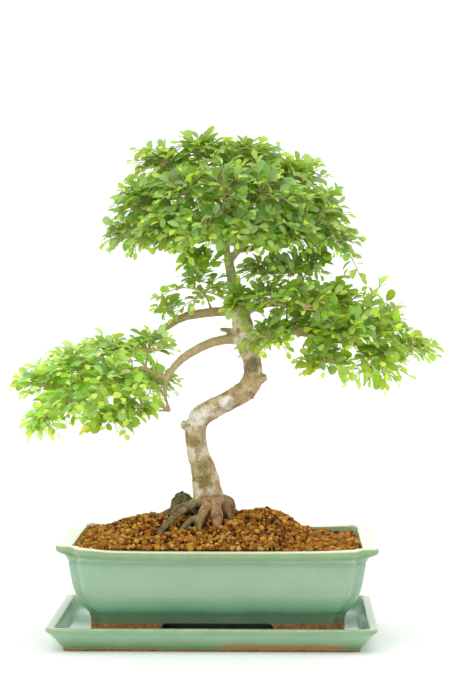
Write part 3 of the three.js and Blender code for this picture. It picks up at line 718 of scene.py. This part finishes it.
def build_wood():
    points, faces = node_arrays("trunk_and_branches")
    wood = mesh_piece("elm_wood", points, faces, bark_material())
    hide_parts("trunk_and_branches")
    mesh, points, outward = fine_grid(wood, (0.95) * MM, smoothing=7)
    local = (points - np.array(TRUNK_FOOT)) / MM
    stem = 1 - smooth(from_trunk_line(local), 11, 16)
    trunk = stem * (1 - smooth(local[:, 2], 175, 205))
    coarse = fbm(points, 11 * MM, 3, 1.0)
    grain = fbm(points * (1, 1, 0.6), 3.2 * MM, 3, 5.0)
    rings = scar_rings(points, coarse)
    to_wound = distance(points, WOUND, (1, 0.7, 1)) / MM

    push = 0.12 + trunk * (0.75 * coarse + 0.32 * grain) + (1 - trunk) * (0.12 * coarse + 0.14 * grain)
    push += 0.75 * rings
    push += 0.5 * np.exp(-(((to_wound - 5.2) / 0.9) ** 2)) - 0.5 * (1 - smooth(to_wound, 3.0, 4.6))
    for place, radius, height in SWELLINGS:
        push += height * (1 - smooth(distance(local, place), 0.3 * radius, radius))
    points += outward * (push * MM)[:, None]
    set_coordinates(mesh, points)
    set_tints(mesh, bark_colors(points, local, stem, trunk, coarse, grain, rings, to_wound))


# ---------------------------------------------------------------- leaves and twigs


# Half the leaf's width at places along its length, stalk first, as shares of the length.
LEAF_STATIONS = [0.0, 0.1, 0.18, 0.3, 0.45, 0.62, 0.78, 0.91, 1.0]
LEAF_WIDTHS = [0.016, 0.026, 0.14, 0.23, 0.285, 0.3, 0.265, 0.17, 0.0]


def leaf_shape(fold, droop, twist):
    """One leaf with its stalk, length 1 along +Y and facing +Z: points, faces and a pattern place per point."""
    points, places = [], []
    for i, (t, half) in enumerate(zip(LEAF_STATIONS, LEAF_WIDTHS, strict=True)):
        tooth = 1.0 + (0.06 if i % 2 else -0.05) * (2 < i < 8)
        z = -droop * t * t + 0.05 * math.sin(3 * t)
        for side in (-1, 0, 1):
            lean = twist * t * side * half
            points.append((side * half * tooth, t, z + abs(side) * half * fold + lean))
            places.append((0.5 + side * half * 1.5, t))
    faces = []
    for i in range(len(LEAF_STATIONS) - 2):
        for k in (0, 1):
            a = 3 * i + k
            faces.append((a, a + 1, a + 4, a + 3))
    tip = 3 * (len(LEAF_STATIONS) - 2)
    faces += [(tip, tip + 1, tip + 4), (tip + 1, tip + 2, tip + 4)]
    last = tip + 3
    keep = [i for i in range(len(points)) if i not in (last, last + 2)]
    index = {old: new for new, old in enumerate(keep)}
    return (
        np.array([points[i] for i in keep]),
        [tuple(index[i] for i in face) for face in faces],
        np.array([places[i] for i in keep]),
    )


LEAVES = [leaf_shape(0.3, 0.1, 0.1), leaf_shape(0.2, 0.2, -0.15), leaf_shape(0.42, 0.02, 0.05)]

# Painted light: how much each group's leaves are brightened; and how many twigs fill the gaps between its masses.
GROUP_LIGHT = {
    "crown": (1.46, 1.3, 1.25), "left_pad": (2.2, 1.85, 2.1), "right_pad": (1.7, 1.46, 1.1),
    "sprig": (1.9, 1.65, 1.5),
}
GROUP_FILL = {"crown": 360, "left_pad": 60, "right_pad": 90, "sprig": 10}
GAPS_BELOW = 12 * MM  # how far the fill hangs below the masses
AREA_PER_TWIG = 59  # of the faces of a mass's box, in square millimetres

# Shoots outside the masses, in millimetres from the trunk's foot: group, name, low corner, high corner, twigs.
SHOOTS = [
    ("crown", "crown_skirt", (-32, -48, 203), (14, 15, 226), 15),
    ("right_pad", "trunk_sprig", (12, -42, 166), (32, -14, 193), 16),
    ("right_pad", "right_pad_skirt", (105, -30, 103), (165, 25, 128), 12),
    ("left_pad", "left_pad_skirt", (-156, -25, 62), (-122, 20, 84), 10),
]
# SHOOT_LIGHT is painted light: the shoots' leaves are painted brighter, to lift them out of the crown's shade.
SHOOT_LIGHT = 1.3  # how much brighter their leaves are

# How far out the twigs of each kind of box reach, as shares of its half size.
MASS_REACH, GAPS_REACH, SHOOT_REACH = (0.7, 1.12), (0.45, 0.93), (0.3, 1.0)

INNER_GREEN, OUTER_GREEN = np.array(srgb(122, 162, 58)), np.array(srgb(142, 188, 86))
BLUISH_GREEN, YOUNG_GREEN = np.array(srgb(144, 186, 146)), np.array(srgb(186, 222, 96))
# TWIG_TAN is partly painted light: the twigs' tan is painted paler to lift them out of the foliage's shade.
TWIG_TAN, TWIG_GREEN = np.array(srgb(250, 226, 182)), np.array(srgb(158, 172, 80))

GOLDEN_ANGLE = 2.39996
TWIG_STEPS, TWIG_SIDES = 6, 4
TWIG_RADII = [0.65 * MM - 0.35 * MM * i / TWIG_STEPS for i in range(TWIG_STEPS + 1)]
LONGEST_TWIG = 42 * MM
WIDE_BOX = 45 * MM  # half width above which each twig starts at the wood nearest to its own tip


def tube(points, radii, sides):
    """A closed tapering tube: points and faces."""
    rings, faces = [], []
    side = Vector((0.3, 0.1, 1))
    for i, point in enumerate(points):
        along = (points[min(i + 1, len(points) - 1)] - points[max(i - 1, 0)]).normalized()
        side = (side - along * side.dot(along)).normalized()
        other = along.cross(side)
        for k in range(sides):
            angle = 2 * math.pi * k / sides
            rings.append(point + radii[i] * (math.cos(angle) * side + math.sin(angle) * other))
    for i in range(len(points) - 1):
        for k in range(sides):
            a, b = i * sides + k, i * sides + (k + 1) % sides
            faces.append((a, b, b + sides, a + sides))
    faces.append(tuple(reversed(range(sides))))
    faces.append(tuple(range((len(points) - 1) * sides, len(points) * sides)))
    return rings, faces


def twig_path(start, end, rng, droop):
    """A fine twig that leaves the branch, arches out and droops a little at its tip."""
    span = (end - start).length
    bend = start.lerp(end, 0.5) + Vector((0, 0, 0.16 * span)) + Vector(rng.normal(0, 0.05 * span, 3))
    path = []
    for k in range(TWIG_STEPS + 1):
        t = k / TWIG_STEPS
        p = start.lerp(bend, t).lerp(bend.lerp(end, t), t)
        p.z -= droop * span * t ** 3
        path.append(p)
    return path


def grow_twigs(middle, half, count, reaches, wood_points, rng):
    """Fine twigs from the wood out through a box. Gives their paths, and for each leaf its base, its twig's
    direction, its side, its share of the twig's length and whether it is the last."""
    hub = Vector(wood_points.find(middle)[0])
    paths, leaves = [], []
    for k in range(count):
        z = 1 - 1.5 * (k + 0.5) / count
        angle = k * GOLDEN_ANGLE + rng.uniform(-0.3, 0.3)
        flat = math.sqrt(max(0.0, 1 - z * z))
        out = Vector((flat * math.cos(angle), flat * math.sin(angle), z))
        reach = rng.uniform(*reaches)
        end = middle + Vector((out.x * half.x, out.y * half.y, out.z * half.z)) * reach
        start = hub.lerp(middle, rng.uniform(0.0, 0.6))
        if half.x > WIDE_BOX:
            start = Vector(wood_points.find(end)[0])
            start = end + (start - end) * min(1, LONGEST_TWIG / max((start - end).length, MM))
        path = twig_path(start, end, rng, rng.uniform(0.02, 0.16))
        paths.append(path)
        length = sum((b - a).length for a, b in zip(path[:-1], path[1:], strict=True))
        spacing = rng.uniform(3.0, 4.0) * MM
        first = 0.3 * length
        steps = max(3, int((length - first) / spacing))
        for step in range(steps + 1):
            share = (first + (length - first) * step / steps) / length
            at = share * TWIG_STEPS
            i = min(int(at), TWIG_STEPS - 1)
            base = path[i].lerp(path[i + 1], at - i)
            along = (path[i + 1] - path[i]).normalized()
            leaves.append((base, along, 1 if step % 2 else -1, share, step == steps))
    return paths, leaves


def place_leaf(base, along, side, share, last, centre, rng):
    """One leaf turned to the light, away from the group's centre: points, faces, pattern and how young it is."""
    away = (base - centre).normalized()
    up = (Vector((0, 0, 0.6)) + away * rng.uniform(0.4, 1.6) + Vector(rng.normal(0, 0.45, 3))).normalized()
    across = along.cross(up).normalized()
    angle = rng.uniform(-0.2, 0.2) if last else math.radians(rng.uniform(38, 66))
    direction = along * math.cos(angle) + across * side * math.sin(angle)
    direction = (direction + Vector((0, 0, rng.uniform(-0.3, 0.35))) + away * 0.15).normalized()
    facing = (up - direction * up.dot(direction)).normalized()
    right = direction.cross(facing)
    near_tip = share > 0.85
    young = (0.6 if last else 0.2 * near_tip) * rng.uniform(0.1, 1.0)
    size = rng.uniform(8.8, 12.9) * MM * (0.78 if last else 1.0) * (1 - 0.15 * near_tip)
    wide = rng.uniform(0.78, 1.02)
    shape, faces, pattern = LEAVES[rng.integers(len(LEAVES))]
    placed = (shape * (wide, 1, 1) * size) @ np.array([right, direction, facing]) + np.array(base)
    return placed, faces, pattern, young


def leaf_tint(rng, young, depth, height, light):
    """The green of one leaf: darker deep inside the mass, as painted shade, and fresher outside; more often bluish
    above, partly as a painted sheen from the sky; and yellow-green when young."""
    outer, deep, above = smooth(depth, 0.5, 1.0), 1 - smooth(depth, 0.25, 0.7), smooth(height, -0.4, 0.5)
    green = INNER_GREEN * (1 - outer) + OUTER_GREEN * outer
    # Partly painted sheen: bluish leaves are likelier toward the top, standing in for the sky's pale sheen there.
    if rng.random() < 0.25 + 0.4 * above:
        green = green * 0.4 + BLUISH_GREEN * 0.6
    green = green * (1 - young) + YOUNG_GREEN * young
    # Painted shade: leaves deep inside the mass are darkened.
    green = green * (1 - 0.3 * deep)
    # Painted light: each group's light brightens the green.
    return np.clip(green * np.array(light) * rng.uniform(0.75, 1.2) * rng.normal(1, 0.05, 3), 0, 1)


def build_mass(name, box, count, reaches, light, wood_points, material, centre, rng):
    """The leaves in one box as one piece, on count fine twigs, whose paths it gives back."""
    middle, half = (box[0] + box[1]) / 2, (box[1] - box[0]) / 2
    paths, leaves = grow_twigs(middle, half, count, reaches, wood_points, rng)
    points, faces, patterns, tints = [], [], [], []
    total = 0
    for leaf in leaves:
        placed, leaf_faces, pattern, young = place_leaf(*leaf, centre, rng)
        points.append(placed)
        faces += [tuple(total + v for v in face) for face in leaf_faces]
        patterns.append(pattern)
        total += len(placed)
        offset = leaf[0] - middle
        x, y, z = (offset[i] / half[i] for i in range(3))
        tint = leaf_tint(rng, young, math.sqrt(x ** 2 + y ** 2 + z ** 2), z, light)
        tints.append(np.tile(tint, (len(placed), 1)))
    corner = np.array([v for face in faces for v in face])
    pattern = np.concatenate(patterns)[corner]
    grid = math.ceil(math.sqrt(len(leaves)))
    which = corner // len(LEAVES[0][0])
    cell = np.stack([which % grid, which // grid], axis=1)
    uvs = {"leaf": pattern, "OFBake": (cell + 0.08 + 0.84 * pattern) / grid}
    piece_name = name.replace("_leaves", "") + "_foliage"
    points, tints = np.concatenate(points), np.concatenate(tints)
    piece = mesh_piece(piece_name, points, faces, material, uvs, tints)
    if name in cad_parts:
        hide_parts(name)
    return paths


def build_twigs(group, paths, rng):
    """The fine twigs of one group as one piece, greener toward their tips."""
    fresh = np.repeat(np.linspace(0, 1, TWIG_STEPS + 1), TWIG_SIDES)[:, None] ** 2
    points, faces, tints = [], [], []
    for path in paths:
        ring_points, ring_faces = tube(path, TWIG_RADII, TWIG_SIDES)
        faces += [tuple(len(points) + v for v in face) for face in ring_faces]
        points += ring_points
        tints.append(TWIG_TAN * rng.uniform(0.8, 1.2) * (1 - fresh) + TWIG_GREEN * fresh)
    mesh_piece(f"{group}_fine_twigs", points, faces, twig_material(), colors=np.concatenate(tints))


def build_foliage():
    rng = np.random.default_rng(SEED)
    wood_points = kd_tree(node_arrays("trunk_and_branches")[0])
    material = leaf_material()
    names = sorted(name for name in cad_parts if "leaves" in name)
    for group in sorted({name.rsplit("_leaves_", 1)[0] for name in names}):
        members = [name for name in names if name.startswith(group)]
        boxes = [[Vector(corner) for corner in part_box(name)] for name in members]
        low = Vector([min(box[0][i] for box in boxes) for i in range(3)])
        high = Vector([max(box[1][i] for box in boxes) for i in range(3)])
        centre = (low + high) / 2
        centre.z = low.z
        light = GROUP_LIGHT[group]
        masses = []
        for name, box in zip(members, boxes, strict=True):
            half = (box[1] - box[0]) / 2
            area = (half.x * half.y + half.z * (half.x + half.y)) / MM ** 2
            masses.append((name, box, max(6, round(area / AREA_PER_TWIG)), MASS_REACH, light))
        low.z -= GAPS_BELOW
        fill = GROUP_FILL[group] // 1
        masses.append((f"{group}_gaps", (low, high), fill, GAPS_REACH, light))
        # Painted light: the shoots' leaves are painted brighter than their group's.
        shoot_light = tuple(SHOOT_LIGHT * share for share in light)
        for owner, name, shoot_low, shoot_high, count in SHOOTS:
            if owner == group:
                box = (from_foot(*shoot_low), from_foot(*shoot_high))
                masses.append((name, box, count, SHOOT_REACH, shoot_light))
        paths = []
        for mass in masses:
            paths += build_mass(*mass, wood_points, material, centre, rng)
        build_twigs(group, paths, rng)


# ---------------------------------------------------------------- soil


# Colours of the granules, and how often each comes up.
GRANULE_TINTS = [
    ((186, 128, 46), 0.30), ((160, 100, 34), 0.26), ((216, 164, 84), 0.18), ((126, 72, 22), 0.12),
    ((158, 130, 46), 0.05), ((220, 166, 52), 0.04), ((66, 48, 30), 0.05),
]

# The granules on the bed: piece, how many, sizes in millimetres, detail, and how deep they sink, as a share.
GRANULES = [
    ("soil_granules", 1400, (3.5, 5.3), 2, 0.25),
    ("soil_small_granules", 2200, (2.4, 3.8), 1, 0.12),
    ("soil_crumbs", 3800, (1.3, 2.5), 1, 0.05),
]
ROCK_SHAPES = 14
EDGE_GAP = 1.5 * MM  # between a granule's middle and the pot's wall
SOIL_WALL = 35 * MM  # height of the soil's sides, where nothing is dropped
DROP_HEIGHT = 50 * MM


def rock(subdivisions, rng):
    """One irregular granule of radius about 1: points and faces."""
    shape = bmesh.new()
    bmesh.ops.create_icosphere(shape, subdivisions=subdivisions, radius=1)
    shift = Vector(rng.uniform(-50, 50, 3))
    squeeze = Vector(rng.uniform(0.72, 1.1, 3))
    for v in shape.verts:
        lump = 1 + 0.42 * noise.noise(v.co * 1.1 + shift) + 0.2 * noise.noise(v.co * 2.7 + shift)
        v.co = Vector(v.co[i] * squeeze[i] for i in range(3)) * lump
    points = np.array([v.co for v in shape.verts])
    faces = [tuple(v.index for v in face.verts) for face in shape.faces]
    shape.free()
    return points, faces


def scatter(name, count, sizes, subdivisions, sink, soil, wood, material, rng):
    """Granules of random size and turn, dropped straight down on the soil's top and clear of the wood."""
    low, high = (Vector(c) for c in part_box("soil"))
    rocks = [rock(subdivisions, rng) for _ in range(ROCK_SHAPES)]
    chances = np.array([chance for _, chance in GRANULE_TINTS])
    points, faces, tints = [], [], []
    total = placed = 0
    while placed < count:
        x = rng.uniform(low.x + EDGE_GAP, high.x - EDGE_GAP)
        y = rng.uniform(low.y + EDGE_GAP, high.y - EDGE_GAP)
        size = rng.uniform(*sizes) * MM
        hit, normal, _, _ = soil.ray_cast(Vector((x, y, high.z + DROP_HEIGHT)), Vector((0, 0, -1)))
        if hit is None or normal.z < 0.4 or hit.z < low.z + SOIL_WALL:
            continue
        centre = hit + normal * size * (0.5 - sink)
        if wood.find_nearest(centre, size * 0.75)[0] is not None:
            continue
        shape, shape_faces = rocks[rng.integers(len(rocks))]
        turn = np.array(Matrix.Rotation(rng.uniform(0, 6.28), 3, Vector(rng.normal(0, 1, 3)).normalized()))
        points.append((shape * size * 0.5) @ turn.T + np.array(centre))
        faces += [tuple(total + v for v in face) for face in shape_faces]
        color = srgb(*GRANULE_TINTS[rng.choice(len(chances), p=chances)][0])
        tint = np.array(color) * rng.uniform(0.78, 1.22)
        tints.append(np.tile(np.clip(tint, 0, 1), (len(shape), 1)))
        total += len(shape)
        placed += 1
    mesh_piece(name, np.concatenate(points), faces, material, colors=np.concatenate(tints))


def build_soil():
    rng = np.random.default_rng(SEED + 1)
    soil, wood = surface_of("soil"), surface_of("trunk_and_branches")
    material = granule_material()
    points, faces = node_arrays("soil")
    bed = mesh_piece("soil_bed", points, faces, material)
    mesh, points, outward = fine_grid(bed, 2.8 * MM)
    lump = 0.5 * fbm(points, 4 * MM, 2, 2.0) - 0.9
    set_coordinates(mesh, points + outward * (lump * MM)[:, None])
    set_tints(mesh, srgb(104, 66, 30))
    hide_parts("soil")
    for name, count, *kind in GRANULES:
        scatter(name, count // (1), *kind, soil, wood, material, rng)


def build_moss():
    points, faces = node_arrays("moss_clump")
    moss = mesh_piece("moss_lump", points, faces, moss_material())
    mesh, points, outward = fine_grid(moss, 0.6 * MM)
    lump = 1.3 * fbm(points, 7 * MM, 3, 4.0) + 0.5 * fbm(points, 2 * MM, 2, 6.0) - 0.6
    set_coordinates(mesh, points + outward * (lump * MM)[:, None])
    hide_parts("moss_clump")


# ---------------------------------------------------------------- stage, light and camera


SKY = 1.0
FLOOR_GLOW = 0.07
TARGET = (0, 0, 0.2)  # the point that the lamps shine at
CAMERA_PLACE = (0.0593, -2.0, 0.312)
CAMERA_DOWN, CAMERA_TURN = 1.985, 1.46  # degrees
LENS, SENSOR = 131.4, 36  # millimetres


def build_stage():
    """A white sweep: a floor that curves up into a wall behind, under an even white sky."""
    half, back, curve, steps = 3.0, 1.6, 0.8, 24
    path = [(-half, 0.0), (back, 0.0)]
    for k in range(1, steps + 1):
        angle = 0.5 * math.pi * k / steps
        path.append((back + curve * math.sin(angle), curve * (1 - math.cos(angle))))
    path.append((back + curve, half))
    points = [(x, y, z) for y, z in path for x in (-half, half)]
    faces = [(2 * i, 2 * i + 1, 2 * i + 3, 2 * i + 2) for i in range(len(path) - 1)]
    mesh = bpy.data.meshes.new("floor")
    mesh.from_pydata(points, [], faces)
    mesh.shade_smooth()
    s = Shader("floor")
    s.set(s.bsdf.inputs["Emission Color"], (1, 1, 1))
    s.set(s.bsdf.inputs["Emission Strength"], FLOOR_GLOW)
    mesh.materials.append(s.finish(color=(0.92, 0.94, 0.92), roughness=0.6, specular=0.2))
    floor = new_object("floor", mesh)
    world = bpy.data.worlds.new("studio")
    bpy.context.scene.world = world
    world.use_nodes = True
    sky = world.node_tree.nodes["Background"]
    sky.inputs["Color"].default_value = (1, 1, 1, 1)
    sky.inputs["Strength"].default_value = SKY


def softbox(name, place, size, power):
    """A square white lamp of a size in metres and a power in watts."""
    light = bpy.data.lights.new(name, "AREA")
    light.shape = "RECTANGLE"
    light.size = light.size_y = size
    light.energy = power
    lamp = new_object(name, light)
    lamp.location = place
    lamp.rotation_euler = (Vector(TARGET) - Vector(place)).to_track_quat("-Z", "Y").to_euler()


def build_camera():
    data = bpy.data.cameras.new("camera")
    data.sensor_width = SENSOR
    data.lens = LENS
    camera = new_object("camera", data)
    camera.location = CAMERA_PLACE
    camera.rotation_euler = (math.radians(90 - CAMERA_DOWN), 0, math.radians(CAMERA_TURN))
    bpy.context.scene.camera = camera


build_camera()
build_stage()
softbox("key", (-1.0, -1.0, 1.6), size=1.2, power=9)
softbox("top", (0.3, 0.5, 1.9), size=1.4, power=10)
build_tray()
build_pot()
build_soil()
build_moss()
build_wood()
build_foliage()

plastic = moulded_material("screen_plastic", (0.03, 0.03, 0.03), 0.55)
wire = moulded_material("clip_wire", (0.6, 0.6, 0.62), 0.35, 1.0)
for side in ("left", "right"):
    for name, material in ((f"drain_screen_{side}", plastic), (f"screen_clip_{side}", wire)):
        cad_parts[name].data.materials.clear()
        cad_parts[name].data.materials.append(material)

scene = bpy.context.scene
scene.view_settings.view_transform = "Standard"
scene.view_settings.look = "None"
